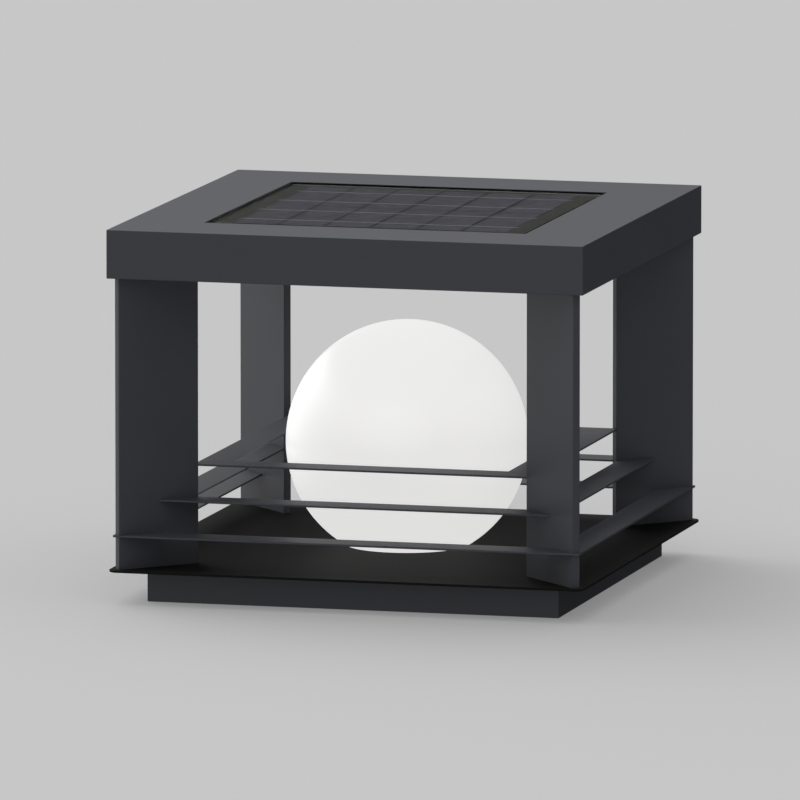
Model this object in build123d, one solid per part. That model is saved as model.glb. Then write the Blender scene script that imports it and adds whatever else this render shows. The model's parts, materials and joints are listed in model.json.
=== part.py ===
from build123d import *
import math
import os

# Solar pillar lamp, in millimetres. Origin: centre of the plinth's underside.
# +Z is up, -Y is the front, +X is the right-hand side.

# Base
PLINTH_SIDE = 260.0
PLINTH_HEIGHT = 20.0
PLATE_SIDE = 300.0
PLATE_CORNER = 6.0
SHEET = 1.5                  # folded sheet: plinth, base plate, cap and soffit
FLANGE_WIDTH = 20.0          # inward flange at the top of the plinth skirt
BRACKET_SHEET = 2.0
ANCHOR_SPACING = 160.0
ANCHOR_HOLE_R = 3.5
TRAY_HALF_WIDTH = 110.0
UPSTAND_HALF_WIDTH = 90.0
UPSTAND_HEIGHT = 17.0
HOOK_X = 60.0                # hooks and rear screws, either side of the middle
HOOK_HALF_WIDTH = 20.0
HOOK_HEIGHT = 13.0
HOOK_REACH = 9.0
REAR_SCREW_Z = 10.0

# Posts: flat hollow extrusions that stand on the diagonals
POST_INNER = 149.2           # distance of the inner edge from the lamp's axis
POST_OUTER = 205.0
POST_THICKNESS = 5.0
POST_EDGE_R = 0.6
CHASE_WIDTH = 30.0           # cable chase in the middle of the section
CHASE_GAP = 3.0
PORT_OFFSET = 20.0           # screw ports, from the middle of the section
LEAD_RADIAL = 168.0          # where the lamp lead runs down inside the chase

# Fins: three stepped square rings, each of four mitred strips
FIN_HALF_WIDTHS = {"low": 147.2, "mid": 127.0, "top": 107.0}
FIN_RISE = 20.7              # middle of the lowest fin above the base plate
FIN_PITCH = 20.0
FIN_WIDTH = 19.7
FIN_THICKNESS = 1.2

# Globe
GLOBE_R = 75.0
GLOBE_WALL = 2.5
GLOBE_CENTRE_Z = 86.35
GLOBE_GAP = 0.3
NECK_R = 33.0
NECK_HEIGHT = 9.5
COLLAR_R = 32.7
COLLAR_BORE_R = 28.5
COLLAR_HEIGHT = 10.0
GASKET = 0.5
LUG_REACH = 1.8              # the bayonet lugs stand this far into the neck
LUG_HALF_ANGLE = 7.0
BAYONET_TURN = 30.0
BAYONET_COUNT = 3

# Light engine
HEATSINK_R = 26.0
HEATSINK_HEIGHT = 4.0
LED_BOARD_R = 22.0
BOARD_THICKNESS = 1.6
LED_SIZE = 5.0
LED_RING_R = 16.0
LED_COUNT = 8                # round the ring; one more sits in the middle
LEAD_ENTRY = 7.0             # the lead rises at (-LEAD_ENTRY, +LEAD_ENTRY)
GROMMET_R = 3.0
GROMMET_FLANGE_R = 4.5
CLIP_RADIALS = (50.0, 110.0)

# Cap
CAP_SIDE = 300.0
CAP_TOP = 231.5
CAP_HEIGHT = 30.0
SOFFIT_RECESS = 2.0
WINDOW_SIDE = 203.0
GLASS_SIDE = 201.0
GLASS_THICKNESS = 3.2
GLASS_RECESS = 0.2
CELL_FIELD_X = 173.0
CELL_FIELD_Y = 178.0
CELL_COLUMNS = 6
CELL_ROWS = 2
CELL_GAP = 1.2
CELL_THICKNESS = 0.2
BUSBARS_PER_ROW = 2
BUSBAR_WIDTH = 1.4
BUSBAR_THICKNESS = 0.1
BUSBAR_OVERHANG = 2.0        # past the outer cells, at each end
LAMINATE = 0.4               # clear layer between the backsheet and the glass
BACKSHEET = 0.5
PANEL_GASKET = 1.0
PANEL_TRAY_SIDE = 218.0      # tray under the cap's top that holds the panel
PANEL_LEDGE_SIDE = 186.0     # opening in the tray's floor
JUNCTION_BOX = (50.0, 40.0, 2.0)    # length, width and wall
JUNCTION_BOX_BOTTOM = 211.0
BRACKET_LEG = 16.0           # both legs of the cap's angle brackets
CAP_BRACKET_HALF_WIDTH = 12.0

# Electrics on the soffit
BATTERY_X = 60.0
BATTERY_R = 9.2
BATTERY_LENGTH = 65.0
BATTERY_PITCH = 19.5
HOLDER_HALF_SIZE = (21.0, 37.0)
HOLDER_HEIGHT = 16.0
HOLDER_FLOOR = 1.5
LUG_Y = 42.0                 # screws of the holder's end lugs
LUG_THICKNESS = 2.0
BOARD_X = (-100.0, -40.0)
BOARD_Y = (40.0, 80.0)
STANDOFF = 5.0
STANDOFF_R = 2.6

# Fasteners: shank radius, head radius, head height
M3 = (1.2, 2.8, 1.9)
M4 = (1.95, 3.8, 1.9)
HOLE_GAP = 0.4               # clearance hole radius over the shank radius
THREAD_GAP = 0.05            # tapped hole radius over the shank radius

# Leads
LEAD_R = 1.2
LEAD_HOLE_R = 2.5
LEAD_BEND_R = 5.0
WIRING_Z = 215.0             # height of the leads above the soffit
UNDER_PLATE_Z = 13.4         # height of the lamp lead below the base plate

# Switch
SWITCH_Y = 115.0
SWITCH_TRAVEL = 1.5
BUTTON_R = 3.9
BUTTON_GAP = 0.3
BUTTON_SHOULDER_R = 4.8
BEZEL_R = 8.0
BEZEL_HEIGHT = 1.5
BARREL_R = 5.9
BARREL_TOP = 213.0
CONTACT_BLOCK = (15.0, 212.0, 221.0)    # side, bottom and top

# Heights that follow from the ones above
PLATE_TOP = PLINTH_HEIGHT + SHEET
CAP_BOTTOM = CAP_TOP - CAP_HEIGHT
SOFFIT_BOTTOM = CAP_BOTTOM + SOFFIT_RECESS
SOFFIT_TOP = SOFFIT_BOTTOM + SHEET
GLASS_TOP = CAP_TOP - GLASS_RECESS
GLASS_BOTTOM = GLASS_TOP - GLASS_THICKNESS
BACKSHEET_TOP = GLASS_BOTTOM - LAMINATE
CELL_TOP = BACKSHEET_TOP + CELL_THICKNESS
BACKSHEET_BOTTOM = BACKSHEET_TOP - BACKSHEET
PANEL_LEDGE_TOP = BACKSHEET_BOTTOM - PANEL_GASKET
POST_MIDDLE = (POST_INNER + POST_OUTER) / 2
PORTS = (POST_MIDDLE - PORT_OFFSET, POST_MIDDLE + PORT_OFFSET)
POST_ANGLES = {"front_left": 225, "front_right": 315, "back_right": 45, "back_left": 135}
SIDE_ANGLES = {"front": 0, "right": 90, "back": 180, "left": 270}
COLLAR_BOTTOM = PLATE_TOP + GASKET
BOARD_BOTTOM = PLATE_TOP + HEATSINK_HEIGHT
BOARD_Z = (SOFFIT_TOP + STANDOFF, SOFFIT_TOP + STANDOFF + BOARD_THICKNESS)
BOARD_MIDDLE = (BOARD_X[0] + BOARD_X[1]) / 2
THROUGH_BASE = (10.0, 30.0)      # heights of drills that pass the base plate
THROUGH_SOFFIT = (190.0, 210.0)  # heights of drills that pass the soffit plate


def block(x, y, z):
    """Box between two corners, each given as (low, high)."""
    size = Box(x[1] - x[0], y[1] - y[0], z[1] - z[0])
    return Pos((x[0] + x[1]) / 2, (y[0] + y[1]) / 2, (z[0] + z[1]) / 2) * size


def slab(side_x, side_y, z):
    """Box centred on the axis, between two heights."""
    return block((-side_x / 2, side_x / 2), (-side_y / 2, side_y / 2), z)


def rod(radius, z, x=0.0, y=0.0):
    """Vertical cylinder between two heights."""
    return Pos(x, y, (z[0] + z[1]) / 2) * Cylinder(radius, z[1] - z[0])


def ring(outer, inner, z):
    """Vertical tube on the axis, between two heights."""
    return rod(outer, z) - rod(inner, (z[0] - 1, z[1] + 1))


def turned(shape, angle):
    """Shape turned about the lamp's axis, in degrees."""
    return Rot(0, 0, angle) * shape


def screw_up(kind, seat_z, length, x, y):
    """Pan-head screw driven upwards, its head under seat_z."""
    shank, head, height = kind
    return rod(shank, (seat_z, seat_z + length), x, y) + rod(head, (seat_z - height, seat_z), x, y)


def countersunk_up(kind, seat_z, length, x, y):
    """Countersunk screw driven upwards, its head flush with seat_z in a sheet above."""
    shank, head, _ = kind
    cone = Pos(x, y, seat_z + SHEET / 2) * Cone(head, shank, SHEET)
    return rod(shank, (seat_z, seat_z + length), x, y) + cone


def countersinks(shape, kind, points, seat_z):
    """Shape with a countersink from seat_z upwards at each (x, y) point."""
    shank, head, _ = kind
    for x, y in points:
        gap = HOLE_GAP / 4
        shape -= Pos(x, y, seat_z + SHEET / 2) * Cone(head + gap, shank + gap, SHEET)
        shape -= rod(shank + THREAD_GAP, (seat_z, seat_z + 2 * SHEET), x, y)
    return shape


def screw_down(kind, seat_z, length, x, y):
    """Pan-head screw driven downwards, its head on seat_z."""
    shank, head, height = kind
    return rod(shank, (seat_z - length, seat_z), x, y) + rod(head, (seat_z, seat_z + height), x, y)


def drilled(shape, radius, points, z):
    """Shape with a vertical hole at each (x, y) point."""
    for x, y in points:
        shape -= rod(radius, z, x, y)
    return shape


def lead(points, bend_r=LEAD_BEND_R):
    """Round lead along straight runs joined by tangent arcs."""
    route = FilletPolyline(*points, radius=bend_r)
    section = Plane(origin=route @ 0, z_dir=route % 0) * Circle(LEAD_R)
    return sweep(section, path=route)


def on_diagonals(radials):
    """Points at each radius on the four diagonals."""
    return [
        (r * math.cos(math.radians(a)), r * math.sin(math.radians(a)))
        for a in POST_ANGLES.values()
        for r in radials
    ]


LEAD_HOLE = (-LEAD_RADIAL / math.sqrt(2), LEAD_RADIAL / math.sqrt(2))
LAMP_HOLE = (-LEAD_ENTRY, LEAD_ENTRY)


# ---------------------------------------------------------------- base


def mounting_bracket():
    """Tray that is bolted down first: front lips hook the plinth, a rear upstand takes its screws."""
    inner = PLINTH_SIDE / 2 - SHEET
    front, rear = -inner + 13.0, inner - 0.5
    hook_back = front + BRACKET_SHEET
    upstand_x = (-UPSTAND_HALF_WIDTH, UPSTAND_HALF_WIDTH)
    tray = block((-TRAY_HALF_WIDTH, TRAY_HALF_WIDTH), (front, rear), (0, BRACKET_SHEET))
    tray += block(upstand_x, (rear - BRACKET_SHEET, rear), (0, UPSTAND_HEIGHT))
    for x in (-HOOK_X, HOOK_X):
        hook_x = (x - HOOK_HALF_WIDTH, x + HOOK_HALF_WIDTH)
        tray += block(hook_x, (front, hook_back), (0, HOOK_HEIGHT))
        tray += block(hook_x, (front - HOOK_REACH, hook_back), (HOOK_HEIGHT - BRACKET_SHEET, HOOK_HEIGHT))
        tray -= Pos(x, rear, REAR_SCREW_Z) * Rot(90, 0, 0) * Cylinder(M4[0] + THREAD_GAP, 10)
    half = ANCHOR_SPACING / 2
    corners = [(x, y) for x in (-half, half) for y in (-half, half)]
    return drilled(tray, ANCHOR_HOLE_R, corners, (-1, BRACKET_SHEET + 1))


def plinth_skirt():
    """Four folded walls with an inward top flange and two front hook tabs."""
    inner = PLINTH_SIDE - 2 * SHEET
    skirt = slab(PLINTH_SIDE, PLINTH_SIDE, (0, PLINTH_HEIGHT))
    skirt -= slab(inner, inner, (-1, PLINTH_HEIGHT - SHEET))
    opening = inner - 2 * FLANGE_WIDTH
    skirt -= slab(opening, opening, (0, PLINTH_HEIGHT + 1))
    for x in (-HOOK_X, HOOK_X):
        skirt += block((x - 18, x + 18), (-inner / 2 - 0.5, -inner / 2 + 10), (8, 8 + SHEET))
        skirt -= Pos(x, inner / 2, REAR_SCREW_Z) * Rot(90, 0, 0) * Cylinder(M4[0] + HOLE_GAP, 10)
    skirt = countersinks(skirt, M3, on_diagonals(PORTS[:1]), PLINTH_HEIGHT - SHEET)
    return drilled(skirt, LEAD_HOLE_R, [LEAD_HOLE], THROUGH_BASE)


def plinth_screws():
    """Two screws through the plinth's rear wall into the bracket."""
    wall = PLINTH_SIDE / 2
    screw = screw_down(M4, 0, 8, 0, 0)
    return [Pos(x, wall, REAR_SCREW_Z) * Rot(-90, 0, 0) * screw for x in (-HOOK_X, HOOK_X)]


def base_plate():
    """Thin square plate with small rounded corners."""
    outline = RectangleRounded(PLATE_SIDE, PLATE_SIDE, PLATE_CORNER)
    plate = Pos(0, 0, PLINTH_HEIGHT) * extrude(outline, SHEET)
    plate = countersinks(plate, M3, on_diagonals(PORTS[1:]), PLINTH_HEIGHT)
    screws = on_diagonals(PORTS[:1]) + collar_screw_points() + heatsink_screw_points()
    plate = drilled(plate, M3[0] + HOLE_GAP, screws, THROUGH_BASE)
    plate = drilled(plate, LEAD_HOLE_R, [LEAD_HOLE], THROUGH_BASE)
    return drilled(plate, GROMMET_R, [LAMP_HOLE], THROUGH_BASE)


# ---------------------------------------------------------------- posts and fins


def post():
    """One post on the +X axis: edges eased, cable chase and two screw ports inside."""
    outline = Pos(POST_MIDDLE, 0) * RectangleRounded(POST_OUTER - POST_INNER, POST_THICKNESS, POST_EDGE_R)
    section = outline - Pos(POST_MIDDLE, 0) * Rectangle(CHASE_WIDTH, CHASE_GAP)
    for radial in PORTS:
        section -= Pos(radial, 0) * Circle(M3[0] + THREAD_GAP)
    return Pos(0, 0, PLATE_TOP) * extrude(section, SOFFIT_BOTTOM - PLATE_TOP)


def post_bottom_screws():
    """Inner screws clamp the plinth flange too; outer ones sit flush in the plate."""
    inner = [countersunk_up(M3, PLINTH_HEIGHT - SHEET, 14, x, y) for x, y in on_diagonals(PORTS[:1])]
    outer = [countersunk_up(M3, PLINTH_HEIGHT, 14, x, y) for x, y in on_diagonals(PORTS[1:])]
    return inner + outer


def post_top_screws():
    return [screw_down(M3, SOFFIT_TOP, 12, x, y) for x, y in on_diagonals(PORTS)]


def fin_strip(half, z):
    """Front strip of one ring: mitred on the diagonals and cut round the posts."""
    inner = half - FIN_WIDTH
    outline = Polyline((-half, -half), (half, -half), (inner, -inner), (-inner, -inner), close=True)
    strip = Pos(0, 0, z - FIN_THICKNESS / 2) * extrude(make_face(outline), FIN_THICKNESS)
    for name in ("front_left", "front_right"):
        solid_post = block((POST_INNER, POST_OUTER), (-POST_THICKNESS / 2, POST_THICKNESS / 2), (0, CAP_TOP))
        strip -= turned(solid_post, POST_ANGLES[name])
    return strip


def fins():
    """Twelve strips: three rings of four."""
    strips = {}
    for step, (level, half) in enumerate(FIN_HALF_WIDTHS.items()):
        strip = fin_strip(half, PLATE_TOP + FIN_RISE + step * FIN_PITCH)
        for side, angle in SIDE_ANGLES.items():
            strips[f"{side}_{level}_fin"] = turned(strip, angle)
    return strips


# ---------------------------------------------------------------- globe and light engine


def sector(inner, outer, start, end, z):
    """Part of a ring between two angles, in degrees."""
    points = [(0, 0)]
    steps = 4
    for i in range(steps + 1):
        a = math.radians(start + (end - start) * i / steps)
        points.append((outer * 2 * math.cos(a), outer * 2 * math.sin(a)))
    wedge = Pos(0, 0, z[0]) * extrude(make_face(Polyline(*points, close=True)), z[1] - z[0])
    return ring(outer, inner, z) & wedge


def globe():
    """Opal ball, cut flat where it stands, with a short inner neck and bayonet lugs."""
    rim = PLATE_TOP + GLOBE_GAP
    centre = Pos(0, 0, GLOBE_CENTRE_Z)
    ball = centre * Sphere(GLOBE_R) - slab(200, 200, (0, rim))
    hollow = centre * Sphere(GLOBE_R - GLOBE_WALL)
    neck = rod(NECK_R + GLOBE_WALL, (rim, rim + NECK_HEIGHT))
    ball -= hollow - neck
    ball -= rod(NECK_R, (0, rim + NECK_HEIGHT))
    lug_z = (COLLAR_BOTTOM + 2.5, COLLAR_BOTTOM + 5.0)
    for i in range(BAYONET_COUNT):
        middle = 360 / BAYONET_COUNT * i
        start, end = middle - LUG_HALF_ANGLE, middle + LUG_HALF_ANGLE
        ball += sector(NECK_R - LUG_REACH, NECK_R + 0.5, start, end, lug_z)
    return ball


def collar_screw_points():
    """Midway between the bayonet grooves, inside the collar's wall."""
    r = (COLLAR_R + COLLAR_BORE_R) / 2
    angles = [75 + 120 * i for i in range(3)]
    return [(r * math.cos(math.radians(a)), r * math.sin(math.radians(a))) for a in angles]


def heatsink_screw_points():
    return [(-14.0, -14.0), (14.0, 14.0)]


def globe_collar():
    """Ring with three L-shaped bayonet grooves; the globe's lugs turn in them."""
    z = (COLLAR_BOTTOM, COLLAR_BOTTOM + COLLAR_HEIGHT)
    collar = ring(COLLAR_R, COLLAR_BORE_R, z)
    floor_r = NECK_R - LUG_REACH - 0.3
    groove_z = (COLLAR_BOTTOM + 2.2, COLLAR_BOTTOM + 5.3)
    for i in range(BAYONET_COUNT):
        middle = 360 / BAYONET_COUNT * i
        low, high = middle - LUG_HALF_ANGLE - 1, middle + BAYONET_TURN + LUG_HALF_ANGLE + 1
        entry = middle + BAYONET_TURN - LUG_HALF_ANGLE - 1
        collar -= sector(floor_r, COLLAR_R + 1, low, high, groove_z)
        collar -= sector(floor_r, COLLAR_R + 1, entry, high, (groove_z[0], z[1] + 1))
    return drilled(collar, M3[0] + THREAD_GAP, collar_screw_points(), (0, COLLAR_BOTTOM + 8))


def collar_gasket():
    gasket = ring(COLLAR_R - 0.2, COLLAR_BORE_R - 1, (PLATE_TOP, COLLAR_BOTTOM))
    return drilled(gasket, M3[0] + HOLE_GAP, collar_screw_points(), THROUGH_BASE)


def collar_screws():
    return [screw_up(M3, PLINTH_HEIGHT, 8, x, y) for x, y in collar_screw_points()]


def led_heatsink():
    """Finned disc: three grooves round its edge, holes for the lead and its screws."""
    disc = rod(HEATSINK_R, (PLATE_TOP, BOARD_BOTTOM))
    for i in range(3):
        z = PLATE_TOP + 0.7 + 1.1 * i
        disc -= ring(HEATSINK_R + 1, HEATSINK_R - 2.5, (z, z + 0.5))
    disc = drilled(disc, M3[0] + THREAD_GAP, heatsink_screw_points() + led_screw_points(), THROUGH_BASE)
    return drilled(disc, 2.0, [LAMP_HOLE], THROUGH_BASE)


def heatsink_screws():
    return [screw_up(M3, PLINTH_HEIGHT, 5, x, y) for x, y in heatsink_screw_points()]


def led_screw_points():
    return [(-7.0, -7.0), (7.0, 7.0)]


def led_board():
    board = rod(LED_BOARD_R, (BOARD_BOTTOM, BOARD_BOTTOM + BOARD_THICKNESS))
    return drilled(board, M3[0] + HOLE_GAP, led_screw_points(), THROUGH_BASE)


def led_screws():
    seat = BOARD_BOTTOM + BOARD_THICKNESS
    return [screw_down(M3, seat, 5, x, y) for x, y in led_screw_points()]


def led_chips():
    """A ring of chips and one in the middle."""
    z = (BOARD_BOTTOM + BOARD_THICKNESS, BOARD_BOTTOM + BOARD_THICKNESS + 1.6)
    half = LED_SIZE / 2
    chip = block((-half, half), (-half, half), z)
    outer = [turned(Pos(LED_RING_R, 0, 0) * chip, 360 / LED_COUNT * i) for i in range(LED_COUNT)]
    return outer + [chip]


def lead_grommet():
    """Rubber grommet where the lead passes up through the base plate."""
    bottom = PLINTH_HEIGHT - 1.5
    grommet = rod(GROMMET_R, (bottom, PLATE_TOP)) + rod(GROMMET_FLANGE_R, (bottom, PLINTH_HEIGHT))
    return Pos(*LAMP_HOLE, 0) * (grommet - rod(LEAD_R, THROUGH_BASE))


def lead_clips():
    """Two clips that hold the lead under the base plate."""
    clips = []
    for radial in CLIP_RADIALS:
        clip = block((radial - 4, radial + 4), (-5, 5), (UNDER_PLATE_Z - 3, PLINTH_HEIGHT))
        clip -= Pos(radial, 0, UNDER_PLATE_Z) * Rot(0, 90, 0) * Cylinder(LEAD_R, 20)
        clips.append(turned(clip, POST_ANGLES["back_left"]))
    return clips


# ---------------------------------------------------------------- cap


def cap_shell():
    """Square box lid, open below, with a window for the solar panel."""
    inner = CAP_SIDE - 2 * SHEET
    shell = slab(CAP_SIDE, CAP_SIDE, (CAP_BOTTOM, CAP_TOP))
    shell -= slab(inner, inner, (CAP_BOTTOM - 1, CAP_TOP - SHEET))
    return shell - slab(WINDOW_SIDE, WINDOW_SIDE, (CAP_BOTTOM, CAP_TOP + 1))


def cap_brackets():
    """Angle bracket inside the middle of each side; each takes one cap screw."""
    wall = CAP_SIDE / 2 - SHEET
    width = (-CAP_BRACKET_HALF_WIDTH, CAP_BRACKET_HALF_WIDTH)
    foot = block(width, (-wall, -wall + BRACKET_LEG), (SOFFIT_TOP, SOFFIT_TOP + SHEET))
    leg = block(width, (-wall, -wall + SHEET), (SOFFIT_TOP, SOFFIT_TOP + BRACKET_LEG))
    bracket = foot + leg - rod(M4[0] + THREAD_GAP, (0, CAP_TOP), 0, -wall + 9)
    return [turned(bracket, angle) for angle in SIDE_ANGLES.values()]


def cap_screw_points():
    r = CAP_SIDE / 2 - SHEET - 9
    return [(0, -r), (r, 0), (0, r), (-r, 0)]


def cap_screws():
    return [screw_up(M4, SOFFIT_BOTTOM, 6, x, y) for x, y in cap_screw_points()]


def soffit_plate():
    """Plate that closes the cap from below and carries the electrics."""
    side = CAP_SIDE - 2 * SHEET - 0.4
    soffit = slab(side, side, (SOFFIT_BOTTOM, SOFFIT_TOP))
    soffit = drilled(soffit, M3[0] + HOLE_GAP, on_diagonals(PORTS) + standoff_points(), THROUGH_SOFFIT)
    soffit = drilled(soffit, M4[0] + HOLE_GAP, cap_screw_points(), THROUGH_SOFFIT)
    soffit = drilled(soffit, M3[0] + THREAD_GAP, holder_screw_points(), THROUGH_SOFFIT)
    soffit = drilled(soffit, 2.0, [LEAD_HOLE], THROUGH_SOFFIT)
    return drilled(soffit, BARREL_R + 0.1, [(0, SWITCH_Y)], THROUGH_SOFFIT)


def panel_frame():
    """Square tray welded under the cap's top; its ledge carries the panel."""
    web_side = PANEL_TRAY_SIDE - 2 * SHEET
    frame = slab(PANEL_TRAY_SIDE, PANEL_TRAY_SIDE, (PANEL_LEDGE_TOP - SHEET, CAP_TOP - SHEET))
    frame -= slab(web_side, web_side, (PANEL_LEDGE_TOP, CAP_TOP))
    return frame - slab(PANEL_LEDGE_SIDE, PANEL_LEDGE_SIDE, (0, CAP_TOP))


def panel_gasket():
    gasket = slab(GLASS_SIDE, GLASS_SIDE, (PANEL_LEDGE_TOP, BACKSHEET_BOTTOM))
    return gasket - slab(PANEL_LEDGE_SIDE + 4, PANEL_LEDGE_SIDE + 4, (0, CAP_TOP))


def solar_glass():
    return slab(GLASS_SIDE, GLASS_SIDE, (GLASS_BOTTOM, GLASS_TOP))


def solar_cells():
    """Two rows of six cells under the glass."""
    width = (CELL_FIELD_X - (CELL_COLUMNS - 1) * CELL_GAP) / CELL_COLUMNS
    depth = (CELL_FIELD_Y - (CELL_ROWS - 1) * CELL_GAP) / CELL_ROWS
    cells = []
    for column in range(CELL_COLUMNS):
        for row in range(CELL_ROWS):
            x = -CELL_FIELD_X / 2 + column * (width + CELL_GAP)
            y = -CELL_FIELD_Y / 2 + row * (depth + CELL_GAP)
            cells.append(block((x, x + width), (y, y + depth), (BACKSHEET_TOP, CELL_TOP)))
    return cells


def cell_busbars():
    """Ribbons along each row, on the cells."""
    row_depth = CELL_FIELD_Y / CELL_ROWS
    half = CELL_FIELD_X / 2 + BUSBAR_OVERHANG
    bars = []
    for row in range(CELL_ROWS):
        for bar in range(BUSBARS_PER_ROW):
            y = -CELL_FIELD_Y / 2 + row * row_depth + row_depth * (bar + 0.5) / BUSBARS_PER_ROW
            y_range = (y - BUSBAR_WIDTH / 2, y + BUSBAR_WIDTH / 2)
            bars.append(block((-half, half), y_range, (CELL_TOP, CELL_TOP + BUSBAR_THICKNESS)))
    return bars


def solar_backsheet():
    return slab(GLASS_SIDE, GLASS_SIDE, (BACKSHEET_BOTTOM, BACKSHEET_TOP))


def junction_box():
    """Sealed box on the panel's back, where the solar lead starts."""
    length, width, wall = JUNCTION_BOX
    inside = (JUNCTION_BOX_BOTTOM + wall, BACKSHEET_BOTTOM - wall)
    box = slab(length, width, (JUNCTION_BOX_BOTTOM, BACKSHEET_BOTTOM))
    return box - slab(length - 2 * wall, width - 2 * wall, inside)


def holder_screw_points():
    return [(BATTERY_X, -LUG_Y), (BATTERY_X, LUG_Y)]


def battery_holder():
    """Open tray for two cells lying side by side, with a screwed lug at each end."""
    half_x, half_y = HOLDER_HALF_SIZE
    lug_y = LUG_Y + 5
    bay_r = BATTERY_R + 0.1
    bay_y = BATTERY_LENGTH / 2 + 1
    tray_x = (BATTERY_X - half_x, BATTERY_X + half_x)
    tray = block(tray_x, (-half_y, half_y), (SOFFIT_TOP, SOFFIT_TOP + HOLDER_HEIGHT))
    tray += block((BATTERY_X - 5, BATTERY_X + 5), (-lug_y, lug_y), (SOFFIT_TOP, SOFFIT_TOP + LUG_THICKNESS))
    for side in (-1, 1):
        x = BATTERY_X + side * BATTERY_PITCH / 2
        tray -= block((x - bay_r, x + bay_r), (-bay_y, bay_y), (SOFFIT_TOP + HOLDER_FLOOR, CAP_TOP))
    return drilled(tray, M3[0] + HOLE_GAP, holder_screw_points(), (SOFFIT_BOTTOM, CAP_TOP))


def holder_screws():
    return [screw_down(M3, SOFFIT_TOP + LUG_THICKNESS, 3.5, x, y) for x, y in holder_screw_points()]


def battery_cells():
    """Two rechargeable cells, each with its raised end contact."""
    cells = []
    for side in (-1, 1):
        body = Cylinder(BATTERY_R, BATTERY_LENGTH) + Pos(0, 0, BATTERY_LENGTH / 2 + 0.5) * Cylinder(3, 1)
        place = Pos(BATTERY_X + side * BATTERY_PITCH / 2, 0, SOFFIT_TOP + HOLDER_FLOOR + BATTERY_R)
        cells.append(place * Rot(90 * side, 0, 0) * body)
    return cells


def standoff_points():
    return [(x, y) for x in (BOARD_X[0] + 4, BOARD_X[1] - 4) for y in (BOARD_Y[0] + 4, BOARD_Y[1] - 4)]


def controller_board():
    return drilled(block(BOARD_X, BOARD_Y, BOARD_Z), M3[0] + HOLE_GAP, standoff_points(), (SOFFIT_TOP, CAP_TOP))


def board_standoffs():
    """Plastic pillars whose snap feet grip the soffit plate."""
    pillar = ring(STANDOFF_R, M3[0] + THREAD_GAP, (SOFFIT_TOP, BOARD_Z[0]))
    pillar += rod(1.5, (SOFFIT_BOTTOM, SOFFIT_TOP))
    pillar += rod(2.2, (SOFFIT_BOTTOM - 1.0, SOFFIT_BOTTOM))
    return [Pos(x, y, 0) * pillar for x, y in standoff_points()]


def board_screws():
    return [screw_down(M3, BOARD_Z[1], 4, x, y) for x, y in standoff_points()]


def controller_parts():
    """Terminal blocks at the front and back edges, an inductor, capacitors and a chip."""
    top = BOARD_Z[1]
    middle = BOARD_MIDDLE
    terminals = [
        block((middle - 16, middle + 16), (BOARD_Y[1] - 8, BOARD_Y[1]), (top, top + 8)),
        block((middle - 16, middle + 16), (BOARD_Y[0], BOARD_Y[0] + 8), (top, top + 8)),
    ]
    inductor = block((middle - 24, middle - 12), (54, 66), (top, top + 6))
    capacitors = [rod(4, (top, top + 11), middle + 16, 60), rod(4, (top, top + 11), middle + 25, 60)]
    chip = block((middle - 4, middle + 2), (57, 63), (top, top + 1.5))
    return terminals + [inductor] + capacitors + [chip]


# ---------------------------------------------------------------- switch


def switch_body():
    """Push switch: bezel below the soffit, barrel through it, contact block above."""
    side, block_bottom, block_top = CONTACT_BLOCK
    bezel_bottom = SOFFIT_BOTTOM - BEZEL_HEIGHT
    body = rod(BEZEL_R, (bezel_bottom, SOFFIT_BOTTOM)) + rod(BARREL_R, (SOFFIT_BOTTOM, BARREL_TOP))
    body += slab(side, side, (block_bottom, block_top))
    body -= rod(BUTTON_R + BUTTON_GAP, (bezel_bottom - 1, SOFFIT_BOTTOM + 2))
    body -= rod(BUTTON_SHOULDER_R + BUTTON_GAP, (SOFFIT_BOTTOM + 1.2, SOFFIT_BOTTOM + 5.5))
    return Pos(0, SWITCH_Y, 0) * body


def switch_button():
    """Button with a shoulder that the bezel holds in."""
    shoulder = SOFFIT_BOTTOM + 1.5
    button = rod(BUTTON_R, (CAP_BOTTOM - 1.0, shoulder))
    button += rod(BUTTON_SHOULDER_R, (shoulder, shoulder + 1.5))
    crown = button.edges().group_by(Axis.Z)[0]
    return Pos(0, SWITCH_Y, 0) * fillet(crown, 0.6)


def switch_nut():
    nut = extrude(RegularPolygon(9.0, 6), 3.0) - rod(BARREL_R + THREAD_GAP, (-1, 4))
    return Pos(0, SWITCH_Y, SOFFIT_TOP) * nut


# ---------------------------------------------------------------- leads


def lamp_lead():
    """From the controller, down the back-left post, under the plate and up to the lamp."""
    points = [
        (BOARD_MIDDLE - 10, BOARD_Y[1], WIRING_Z),
        (BOARD_MIDDLE - 10, LEAD_HOLE[1], WIRING_Z),
        (*LEAD_HOLE, WIRING_Z),
        (*LEAD_HOLE, UNDER_PLATE_Z),
        (*LAMP_HOLE, UNDER_PLATE_Z),
        (*LAMP_HOLE, BOARD_BOTTOM),
    ]
    return lead(points)


def switch_lead():
    x = BOARD_MIDDLE + 10
    return lead([(-7.5, SWITCH_Y, WIRING_Z), (x, SWITCH_Y, WIRING_Z), (x, BOARD_Y[1], WIRING_Z)], 12)


def solar_lead():
    x = BOARD_MIDDLE + 10
    return lead([(-25, 0, WIRING_Z), (x, 0, WIRING_Z), (x, BOARD_Y[0], WIRING_Z)], 14)


def battery_lead():
    x_board = BOARD_MIDDLE - 10
    x_holder = BATTERY_X - 10
    points = [
        (x_holder, -37, WIRING_Z),
        (x_holder, -70, WIRING_Z),
        (x_board, -70, WIRING_Z),
        (x_board, BOARD_Y[0], WIRING_Z),
    ]
    return lead(points, 14)


# ---------------------------------------------------------------- assembly


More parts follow.
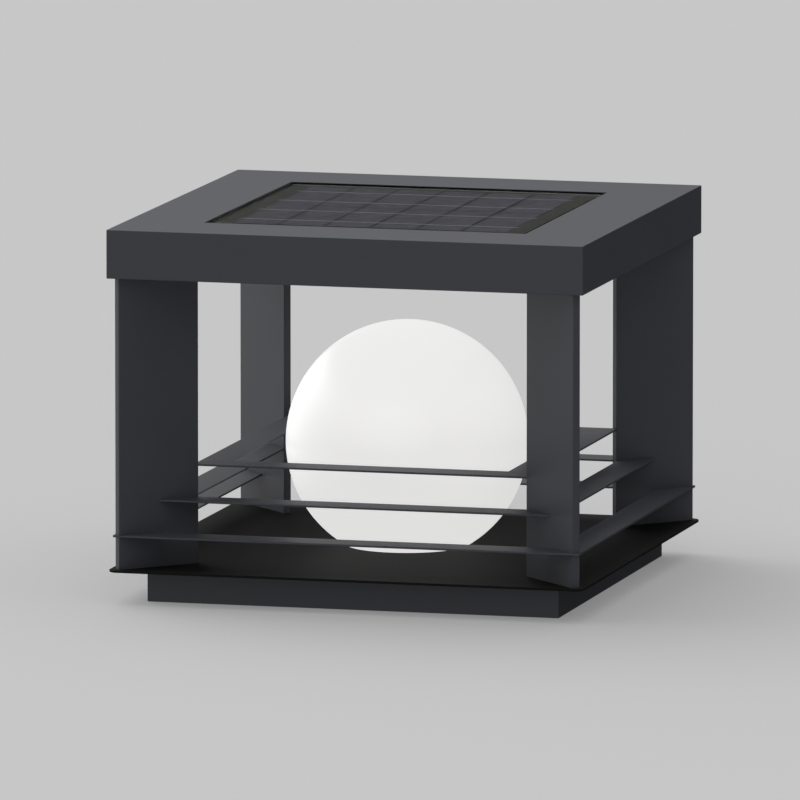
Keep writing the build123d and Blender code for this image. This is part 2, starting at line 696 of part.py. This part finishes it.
def assembly():
    """Every node by name; a list is one node of separate solids."""
    nodes = {
        "mounting_bracket": mounting_bracket(),
        "plinth_skirt": plinth_skirt(),
        "plinth_screws": plinth_screws(),
        "base_plate": base_plate(),
        "post_bottom_screws": post_bottom_screws(),
        "post_top_screws": post_top_screws(),
        "globe": globe(),
        "globe_collar": globe_collar(),
        "collar_gasket": collar_gasket(),
        "collar_screws": collar_screws(),
        "led_heatsink": led_heatsink(),
        "heatsink_screws": heatsink_screws(),
        "led_board": led_board(),
        "led_screws": led_screws(),
        "led_chips": led_chips(),
        "lead_grommet": lead_grommet(),
        "lead_clips": lead_clips(),
        "cap_shell": cap_shell(),
        "cap_brackets": cap_brackets(),
        "cap_screws": cap_screws(),
        "soffit_plate": soffit_plate(),
        "panel_frame": panel_frame(),
        "panel_gasket": panel_gasket(),
        "solar_glass": solar_glass(),
        "solar_cells": solar_cells(),
        "cell_busbars": cell_busbars(),
        "solar_backsheet": solar_backsheet(),
        "junction_box": junction_box(),
        "battery_holder": battery_holder(),
        "holder_screws": holder_screws(),
        "battery_cells": battery_cells(),
        "controller_board": controller_board(),
        "board_standoffs": board_standoffs(),
        "board_screws": board_screws(),
        "controller_parts": controller_parts(),
        "switch_body": switch_body(),
        "switch_button": switch_button(),
        "switch_nut": switch_nut(),
        "lamp_lead": lamp_lead(),
        "switch_lead": switch_lead(),
        "solar_lead": solar_lead(),
        "battery_lead": battery_lead(),
    }
    for name, angle in POST_ANGLES.items():
        nodes[f"{name}_post"] = turned(post(), angle)
    nodes.update(fins())
    return nodes


os.makedirs("parts", exist_ok=True)
for node, shape in assembly().items():
    if isinstance(shape, list):
        shape = Compound(children=shape)
    export_step(shape, f"parts/{node}.step")
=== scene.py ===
import json
import math

import bmesh
import bpy
from mathutils import Matrix, Vector

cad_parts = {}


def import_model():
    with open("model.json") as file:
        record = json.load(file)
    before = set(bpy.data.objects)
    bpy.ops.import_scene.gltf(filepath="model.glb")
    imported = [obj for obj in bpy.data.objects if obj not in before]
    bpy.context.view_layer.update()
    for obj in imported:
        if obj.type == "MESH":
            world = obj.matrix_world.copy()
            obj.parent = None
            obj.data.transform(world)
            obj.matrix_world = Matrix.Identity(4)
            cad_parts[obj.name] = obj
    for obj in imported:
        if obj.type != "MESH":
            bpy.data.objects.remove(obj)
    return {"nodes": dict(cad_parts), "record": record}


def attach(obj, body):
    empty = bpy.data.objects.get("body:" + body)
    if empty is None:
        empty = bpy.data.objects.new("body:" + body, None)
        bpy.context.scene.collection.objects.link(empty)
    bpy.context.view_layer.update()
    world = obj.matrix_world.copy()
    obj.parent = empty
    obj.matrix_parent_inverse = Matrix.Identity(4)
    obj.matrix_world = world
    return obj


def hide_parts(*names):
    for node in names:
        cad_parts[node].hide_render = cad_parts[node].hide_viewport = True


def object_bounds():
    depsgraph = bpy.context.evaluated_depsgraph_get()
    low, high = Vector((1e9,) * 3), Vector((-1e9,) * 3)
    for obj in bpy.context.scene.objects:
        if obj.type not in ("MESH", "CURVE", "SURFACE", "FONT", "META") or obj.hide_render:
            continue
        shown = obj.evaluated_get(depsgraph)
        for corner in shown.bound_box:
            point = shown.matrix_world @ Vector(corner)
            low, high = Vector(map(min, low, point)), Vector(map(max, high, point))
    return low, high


MM = 0.001

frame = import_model()
cad_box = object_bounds()
scene = bpy.context.scene
nodes = frame["nodes"]


# Soft studio light, as broad patches of the world: azimuth from +X, elevation,
# half-width (all in degrees) and level
SKY = {
    "overhead": (0.0, 90.0, 75.0, 0.86),
    "left_low": (162.0, 0.0, 42.0, 0.54),
    "left_high": (168.0, 45.0, 42.0, 1.05),
    "front": (270.0, 15.0, 45.0, 0.72),
    "right": (5.0, 15.0, 45.0, 0.28),
    "back_left": (146.0, 16.0, 40.0, 1.00),
    "back_high": (112.0, 48.0, 40.0, 0.68),
    "below": (0.0, -90.0, 90.0, 0.13),
}
# The globe's light: least level, what is added a reach above or below the least level's
# height, then that height and the reach, both in millimetres
GLOBE_GLOW = (0.655, 0.18, 80.0, 81.0)
FLOOR_GLOW = 0.20            # the floor's own light
FLOOR_DROP = 0.3             # under the part, so that the two share no plane, in millimetres
FLOOR_REACH = 30.0           # in metres

# Solar cells, in millimetres. The dark side edges are painted round the middle of the gap
# between two columns: full to EDGE_FULL, gone by EDGE_END.
CELL_PITCH = 29.033
FINGER_HALF_PITCH = 0.9
FINGER_HALF_WIDTH = 0.12
EDGE_FULL = 1.0
EDGE_END = 1.5

GLASS_INDEX = 1.12           # low, for an anti-reflective coating

# The camera stands to the right of the front and looks down a little
CAMERA_YAW = 14.935
CAMERA_PITCH = 8.143
CAMERA_DISTANCE = 9.744
CAMERA_LENS = 711.1
CAMERA_AIM = (0.0, -0.017, -0.0019)      # from the middle of the part, in metres
SENSOR_WIDTH = 36.0


# ---------------------------------------------------------------- node helpers


class Graph:
    """One material's node tree, with short calls for the nodes used here."""

    def __init__(self, name):
        self.material = bpy.data.materials.new(name)
        self.material.use_nodes = True
        self.tree = self.material.node_tree
        self.bsdf = self.tree.nodes["Principled BSDF"]
        self.coords = self.tree.nodes.new("ShaderNodeTexCoord").outputs["Object"]

    def set(self, **values):
        for key, value in values.items():
            self.bsdf.inputs[key.replace("_", " ").title()].default_value = value

    def link(self, output, node, socket):
        self.tree.links.new(output, node.inputs[socket])

    def noise(self, size, detail=3.0, rough=0.5, stretch=None):
        """Noise whose features are about size metres across; 0 to 1."""
        node = self.tree.nodes.new("ShaderNodeTexNoise")
        node.inputs["Scale"].default_value = 1.0 / size
        node.inputs["Detail"].default_value = detail
        node.inputs["Roughness"].default_value = rough
        source = self.coords
        if stretch:
            mapping = self.tree.nodes.new("ShaderNodeMapping")
            mapping.inputs["Scale"].default_value = stretch
            self.link(source, mapping, "Vector")
            source = mapping.outputs[0]
        self.link(source, node, "Vector")
        return node.outputs["Fac"]

    def remap(self, value, low, high, to_low, to_high):
        node = self.tree.nodes.new("ShaderNodeMapRange")
        for socket, number in zip((1, 2, 3, 4), (low, high, to_low, to_high)):
            node.inputs[socket].default_value = number
        self.link(value, node, 0)
        return node.outputs[0]

    def math(self, operation, a, b=None):
        node = self.tree.nodes.new("ShaderNodeMath")
        node.operation = operation
        for i, value in enumerate((a, b)):
            if value is None:
                continue
            if isinstance(value, (int, float)):
                node.inputs[i].default_value = value
            else:
                self.link(value, node, i)
        return node.outputs[0]

    def mix(self, factor, a, b):
        """Colour between a and b."""
        node = self.tree.nodes.new("ShaderNodeMix")
        node.data_type = "RGBA"
        for i, value in ((6, a), (7, b)):
            if isinstance(value, tuple):
                node.inputs[i].default_value = (*value, 1)
            else:
                self.link(value, node, i)
        self.link(factor, node, 0)
        return node.outputs[2]

    def bump(self, height, depth, strength=1.0, after=None):
        node = self.tree.nodes.new("ShaderNodeBump")
        node.inputs["Strength"].default_value = strength
        node.inputs["Distance"].default_value = depth
        self.link(height, node, "Height")
        if after:
            self.link(after, node, "Normal")
        return node.outputs[0]

    def axis(self, letter):
        node = self.tree.nodes.new("ShaderNodeSeparateXYZ")
        self.link(self.coords, node, 0)
        return node.outputs[letter]

    def to(self, **outputs):
        for key, value in outputs.items():
            self.link(value, self.bsdf, key.replace("_", " ").title())


# ---------------------------------------------------------------- materials


def powder_coat(name, colour, roughness, specular=0.5):
    """Fine-textured powder coat: orange peel, a finer grain and faint mottling."""
    g = Graph(name)
    mottle = g.noise(35 * MM, 4.0, 0.6)
    grain = g.noise(0.35 * MM, 2.0)
    peel = g.noise(1.4 * MM, 2.0)
    dark = tuple(c * 0.97 for c in colour)
    light = tuple(c * 1.03 for c in colour)
    tone = g.mix(g.remap(mottle, 0.3, 0.7, 0.0, 1.0), dark, light)
    speck = tuple(min(1.0, c * 1.35) for c in colour)
    tone = g.mix(g.remap(grain, 0.55, 0.75, 0.0, 0.6), tone, speck)
    normal = g.bump(peel, 0.03 * MM, 0.5)
    normal = g.bump(grain, 0.015 * MM, 0.6, normal)
    rough = g.remap(mottle, 0.3, 0.7, roughness - 0.01, roughness + 0.01)
    g.to(Base_color=tone, Roughness=rough, Normal=normal)
    g.bsdf.inputs["Specular IOR Level"].default_value = specular
    return g.material


def opal():
    """Satin opal shell that glows, more toward its top and bottom."""
    g = Graph("opal")
    cloud = g.noise(40 * MM, 2.0)
    tone = g.mix(cloud, (0.44, 0.438, 0.43), (0.46, 0.458, 0.45))
    ripple = g.bump(g.noise(6 * MM, 2.0), 0.02 * MM, 0.25)
    g.to(Base_color=tone, Normal=ripple)
    least, extra, height, reach = GLOBE_GLOW
    rise = g.math("DIVIDE", g.math("SUBTRACT", g.axis("Z"), height * MM), reach * MM)
    added = g.math("MULTIPLY", g.math("MULTIPLY", rise, rise), extra)
    g.to(Emission_strength=g.math("ADD", added, least))
    g.set(Roughness=0.35)
    g.bsdf.inputs["Emission Color"].default_value = (1.0, 0.996, 0.988, 1)
    return g.material


def solar_glass():
    """Low-iron cover glass with an anti-reflective face."""
    g = Graph("solar_glass")
    dust = g.noise(12 * MM, 4.0, 0.65)
    g.to(Roughness=g.remap(dust, 0.4, 0.8, 0.01, 0.04))
    g.bsdf.inputs["Base Color"].default_value = (0.96, 0.98, 0.97, 1)
    g.bsdf.inputs["Transmission Weight"].default_value = 1.0
    g.bsdf.inputs["IOR"].default_value = GLASS_INDEX
    return g.material


def silicon():
    """Cell face: fine silver fingers along Y, painted side edges, faint crystal mottling."""
    g = Graph("silicon")
    x = g.axis("X")
    finger = g.math("PINGPONG", x, FINGER_HALF_PITCH * MM)
    line = g.remap(finger, 0.0, FINGER_HALF_WIDTH * MM, 1.0, 0.0)
    crystal = g.noise(9 * MM, 3.0, 0.7)
    body = g.mix(crystal, (0.110, 0.096, 0.134), (0.130, 0.114, 0.156))
    tone = g.mix(g.math("MULTIPLY", line, 0.25), body, (0.2, 0.19, 0.21))
    to_gap = g.math("PINGPONG", x, CELL_PITCH / 2 * MM)
    edge = g.remap(to_gap, EDGE_FULL * MM, EDGE_END * MM, 1.0, 0.0)
    tone = g.mix(edge, tone, (0.016, 0.013, 0.010))
    g.to(Base_color=tone, Roughness=g.remap(crystal, 0.3, 0.7, 0.3, 0.45))
    return g.material


def brushed_metal(name, colour, roughness):
    """Metal with fine streaks along X."""
    g = Graph(name)
    streak = g.noise(1.2 * MM, 3.0, 0.6, stretch=(1, 12, 12))
    tone = g.mix(streak, tuple(c * 0.85 for c in colour), colour)
    rough = g.remap(streak, 0.2, 0.8, roughness - 0.08, roughness + 0.08)
    g.to(Base_color=tone, Roughness=rough)
    g.to(Normal=g.bump(streak, 0.01 * MM, 0.4))
    g.set(Metallic=1.0)
    return g.material


def plastic(name, colour, roughness, grain_size=0.6):
    """Moulded plastic or rubber with a spark-eroded grain."""
    g = Graph(name)
    grain = g.noise(grain_size * MM, 3.0)
    cloud = g.noise(15 * MM, 2.0)
    dark = tuple(c * 0.88 for c in colour)
    light = tuple(min(1.0, c * 1.12) for c in colour)
    tone = g.mix(cloud, dark, light)
    g.to(Base_color=tone, Normal=g.bump(grain, 0.02 * MM, 0.5))
    g.to(Roughness=g.remap(grain, 0.3, 0.7, roughness - 0.05, roughness + 0.05))
    return g.material


def circuit_board(name, colour, track):
    """Solder mask with copper tracks showing through as a lighter tone."""
    g = Graph(name)
    cell = g.tree.nodes.new("ShaderNodeTexVoronoi")
    cell.distance = "MANHATTAN"
    cell.feature = "DISTANCE_TO_EDGE"
    cell.inputs["Scale"].default_value = 1.0 / (4 * MM)
    g.link(g.coords, cell, "Vector")
    line = g.remap(cell.outputs["Distance"], 0.04, 0.08, 1.0, 0.0)
    g.to(Base_color=g.mix(line, colour, track), Normal=g.bump(line, 0.03 * MM, 0.6))
    g.set(Roughness=0.35)
    return g.material


def floor_material():
    """Matt pale floor with a little light of its own."""
    g = Graph("studio_floor")
    cloud = g.noise(0.6, 2.0)
    g.to(Base_color=g.mix(cloud, (0.38, 0.38, 0.38), (0.39, 0.39, 0.39)))
    g.set(Roughness=0.9)
    g.bsdf.inputs["Emission Color"].default_value = (1.0, 1.0, 1.0, 1)
    g.bsdf.inputs["Emission Strength"].default_value = FLOOR_GLOW
    g.bsdf.inputs["Specular IOR Level"].default_value = 0.1
    return g.material


def sky_direction(azimuth, elevation):
    """Unit vector toward a patch of light, both angles in degrees."""
    a, e = math.radians(azimuth), math.radians(elevation)
    return (math.cos(a) * math.cos(e), math.sin(a) * math.cos(e), math.sin(e))


def world():
    """Sum of the soft patches in SKY."""
    scene.world = bpy.data.worlds.new("studio")
    scene.world.use_nodes = True
    tree = scene.world.node_tree
    background = tree.nodes["Background"]
    background.inputs["Color"].default_value = (1.0, 1.0, 1.0, 1)
    coords = tree.nodes.new("ShaderNodeTexCoord").outputs["Generated"]
    total = None
    for azimuth, elevation, half_width, level in SKY.values():
        dot = tree.nodes.new("ShaderNodeVectorMath")
        dot.operation = "DOT_PRODUCT"
        dot.inputs[1].default_value = sky_direction(azimuth, elevation)
        tree.links.new(coords, dot.inputs[0])
        patch = tree.nodes.new("ShaderNodeMapRange")
        patch.interpolation_type = "SMOOTHSTEP"
        edge = math.cos(math.radians(half_width))
        for socket, number in zip((1, 2, 3, 4), (edge, 1.0, 0.0, level)):
            patch.inputs[socket].default_value = number
        tree.links.new(dot.outputs["Value"], patch.inputs[0])
        if total is None:
            total = patch.outputs[0]
            continue
        add = tree.nodes.new("ShaderNodeMath")
        add.operation = "ADD"
        tree.links.new(total, add.inputs[0])
        tree.links.new(patch.outputs[0], add.inputs[1])
        total = add.outputs[0]
    tree.links.new(total, background.inputs["Strength"])


def floor():
    """Pale floor that the part stands on, hidden from reflections."""
    mesh = bpy.data.meshes.new("floor")
    reach = FLOOR_REACH
    z = -FLOOR_DROP * MM
    corners = [(-reach, -reach, z), (reach, -reach, z), (reach, reach, z), (-reach, reach, z)]
    mesh.from_pydata(corners, [], [(0, 1, 2, 3)])
    mesh.materials.append(floor_material())
    obj = bpy.data.objects.new("floor", mesh)
    scene.collection.objects.link(obj)
    obj.visible_glossy = False


def camera():
    low, high = cad_box
    aim = (low + high) / 2 + Vector(CAMERA_AIM)
    yaw, pitch = math.radians(CAMERA_YAW), math.radians(CAMERA_PITCH)
    level = math.cos(pitch)
    forward = Vector((-math.sin(yaw) * level, math.cos(yaw) * level, -math.sin(pitch)))
    data = bpy.data.cameras.new("camera")
    data.lens = CAMERA_LENS
    data.sensor_width = SENSOR_WIDTH
    data.clip_end = 100.0
    obj = bpy.data.objects.new("camera", data)
    scene.collection.objects.link(obj)
    obj.location = aim - forward * CAMERA_DISTANCE
    obj.rotation_euler = (math.pi / 2 - pitch, 0, yaw)
    scene.camera = obj


# ---------------------------------------------------------------- CAD nodes


def dress(name, material, bevel):
    """Gives a CAD node its material, welds its split corners and eases its edges."""
    obj = nodes[name]
    obj.data.materials.clear()
    obj.data.materials.append(material)
    weld = obj.modifiers.new("weld", "WELD")
    weld.merge_threshold = 0.001 * MM
    if bevel:
        edge = obj.modifiers.new("edge", "BEVEL")
        edge.width = bevel * MM
        edge.segments = 3
        edge.limit_method = "ANGLE"
        edge.angle_limit = math.radians(30)
        edge.harden_normals = True


anthracite = powder_coat("anthracite", (0.053, 0.0558, 0.067), 0.52)
black_coat = powder_coat("black_coat", (0.0075, 0.0071, 0.0066), 0.75, 0.1)
opal_material = opal()
glass = solar_glass()
cell_face = silicon()
ribbon = plastic("ribbon", (0.62, 0.62, 0.64), 0.35, 0.4)
laminate = plastic("laminate", (0.048, 0.043, 0.035), 0.5, 1.5)
zinc = brushed_metal("zinc", (0.55, 0.56, 0.56), 0.35)
stainless = brushed_metal("stainless", (0.6, 0.59, 0.57), 0.3)
aluminium = brushed_metal("aluminium", (0.75, 0.76, 0.77), 0.35)
rubber = plastic("rubber", (0.02, 0.02, 0.02), 0.7, 0.8)
black_plastic = plastic("black_plastic", (0.022, 0.022, 0.023), 0.45)
white_plastic = plastic("white_plastic", (0.72, 0.72, 0.69), 0.4)
green_board = circuit_board("green_board", (0.01, 0.09, 0.03), (0.03, 0.2, 0.07))
white_board = circuit_board("white_board", (0.75, 0.75, 0.72), (0.6, 0.58, 0.5))
phosphor = plastic("phosphor", (0.75, 0.55, 0.12), 0.3, 0.3)
jacket = plastic("jacket", (0.025, 0.025, 0.027), 0.4, 0.5)
cell_wrap = plastic("cell_wrap", (0.05, 0.17, 0.27), 0.3, 2.0)

# Each slot's material, and how far its pieces' edges are eased, in millimetres
SLOT_MATERIALS = {
    "anthracite_powder_coat": (anthracite, 0.35),
    "black_powder_coat": (black_coat, 0.3),
    "opal_globe": (opal_material, 0.0),
    "solar_glass": (glass, 0.25),
    "silicon_cell": (cell_face, 0.0),
    "ribbon": (ribbon, 0.0),
    "panel_laminate": (laminate, 0.0),
    "zinc_steel": (zinc, 0.15),
    "stainless_steel": (stainless, 0.2),
    "aluminium_part": (aluminium, 0.15),
    "rubber_part": (rubber, 0.1),
    "black_plastic": (black_plastic, 0.2),
    "white_plastic": (white_plastic, 0.15),
    "circuit_board": (green_board, 0.0),
    "led_board_white": (white_board, 0.0),
    "led_phosphor": (phosphor, 0.1),
    "cable_jacket": (jacket, 0.0),
    "battery_wrap": (cell_wrap, 0.2),
}


def dress_all():
    """Dresses every CAD node after the slot that its record names."""
    for row in frame["record"]["subparts"]:
        material, bevel = SLOT_MATERIALS[row["material_slot"]]
        dress(row["node"], material, bevel)


# ---------------------------------------------------------------- detailed pieces

# Screws, in millimetres: shank radius, head radius, head height, half the socket's width
M3 = (1.2, 2.8, 1.9, 1.0)
M4 = (1.95, 3.8, 1.9, 1.25)
SOCKET_DEPTH = 1.2
TIP_LENGTH = 0.8
TIP_TAPER = 0.6              # tip radius over shank radius
FLAT_RIM = 0.12              # height of a countersunk head's edge
FLAT_EASE = 0.1              # taken off that head's top radius
SCREW_SEGMENTS = 36
SHEET = 1.5

# Where the screws go, in millimetres
PLINTH_SCREW_X = (-60.0, 60.0)
PLINTH_SCREW_Z = 10.0
PLINTH_BACK = 130.0
PLINTH_SCREW_LENGTH = 8.0
CAP_SCREW_REACH = 139.5
CAP_SCREW_LENGTH = 6.0
SOFFIT_BOTTOM = 203.5
POST_PORTS = (157.1, 197.1)
POST_SEATS = (18.5, 20.0)    # under the base plate, and under the post beyond its edge
POST_SCREW_LENGTH = 14.0
POST_ANGLES = (45, 135, 225, 315)


def hexagon_reach(angle, flat):
    """Distance to the edge of a hexagon, flat being half its width across flats."""
    return flat / math.cos(angle % (math.pi / 3) - math.pi / 6)


def pan_rings(kind, length):
    """(radius, height) from the tip up and over a domed head that sits on 0."""
    shank, head, height, _ = kind
    dome = [(1.0, 0.0), (1.0, 0.4), (0.96, 0.66), (0.86, 0.86), (0.72, 0.97), (0.6, 1.0)]
    tip = [(shank * TIP_TAPER, -length), (shank, TIP_LENGTH - length), (shank, 0.0)]
    return tip + [(head * r, height * z) for r, z in dome]


def flat_rings(kind, length):
    """(radius, height) from the tip up to a countersunk head whose top is at 0."""
    shank, head, _, _ = kind
    tip = [(shank * TIP_TAPER, -length), (shank, TIP_LENGTH - length), (shank, -SHEET)]
    return tip + [(head, -FLAT_RIM), (head - FLAT_EASE, 0.0)]


def add_screw(bm, flat, rings, place):
    """Turned screw with a hexagon socket, put at place."""
    top = rings[-1][1]
    loops = []
    for radius, z in rings + [(None, top), (None, top - SOCKET_DEPTH)]:
        loop = []
        for i in range(SCREW_SEGMENTS):
            angle = 2 * math.pi * i / SCREW_SEGMENTS
            reach = hexagon_reach(angle, flat) if radius is None else radius
            point = Vector((reach * math.cos(angle), reach * math.sin(angle), z)) * MM
            loop.append(bm.verts.new(place @ point))
        loops.append(loop)
    for lower, upper in zip(loops, loops[1:]):
        for i in range(SCREW_SEGMENTS):
            j = (i + 1) % SCREW_SEGMENTS
            bm.faces.new((lower[i], lower[j], upper[j], upper[i]))
    bm.faces.new(reversed(loops[0]))
    bm.faces.new(loops[-1])


def screws(node, material, kind, placed):
    """One piece for all of a node's screws; placed holds (rings, matrix) pairs."""
    bm = bmesh.new()
    for rings, place in placed:
        add_screw(bm, kind[3], rings, place)
    mesh = bpy.data.meshes.new(node + "_detail")
    bm.to_mesh(mesh)
    bm.free()
    mesh.shade_smooth()
    mesh.set_sharp_from_angle(angle=math.radians(35))
    mesh.materials.append(material)
    obj = bpy.data.objects.new(node + "_detail", mesh)
    scene.collection.objects.link(obj)
    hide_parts(node)
    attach(obj, "lamp")


def heading_down(x, y, seat):
    """Placement of a screw driven upwards, its head below seat."""
    return Matrix.Translation(Vector((x, y, seat)) * MM) @ Matrix.Rotation(math.pi, 4, "X")


def heading_back(x, y, z):
    """Placement of a screw driven forwards, its head behind the wall."""
    return Matrix.Translation(Vector((x, y, z)) * MM) @ Matrix.Rotation(-math.pi / 2, 4, "X")


def all_screws():
    """The three sets of screws that can be seen from outside."""
    rings = pan_rings(M4, PLINTH_SCREW_LENGTH)
    plinth = [(rings, heading_back(x, PLINTH_BACK, PLINTH_SCREW_Z)) for x in PLINTH_SCREW_X]
    screws("plinth_screws", stainless, M4, plinth)
    rings = pan_rings(M4, CAP_SCREW_LENGTH)
    reach = CAP_SCREW_REACH
    points = [(0.0, -reach), (reach, 0.0), (0.0, reach), (-reach, 0.0)]
    cap = [(rings, heading_down(x, y, SOFFIT_BOTTOM)) for x, y in points]
    screws("cap_screws", stainless, M4, cap)
    rings = flat_rings(M3, POST_SCREW_LENGTH)
    post = []
    for radial, seat in zip(POST_PORTS, POST_SEATS):
        for angle in POST_ANGLES:
            a = math.radians(angle)
            place = heading_down(radial * math.cos(a), radial * math.sin(a), seat)
            post.append((rings, place))
    screws("post_bottom_screws", zinc, M3, post)


dress_all()
all_screws()
floor()
world()
camera()
scene.view_settings.view_transform = "Standard"
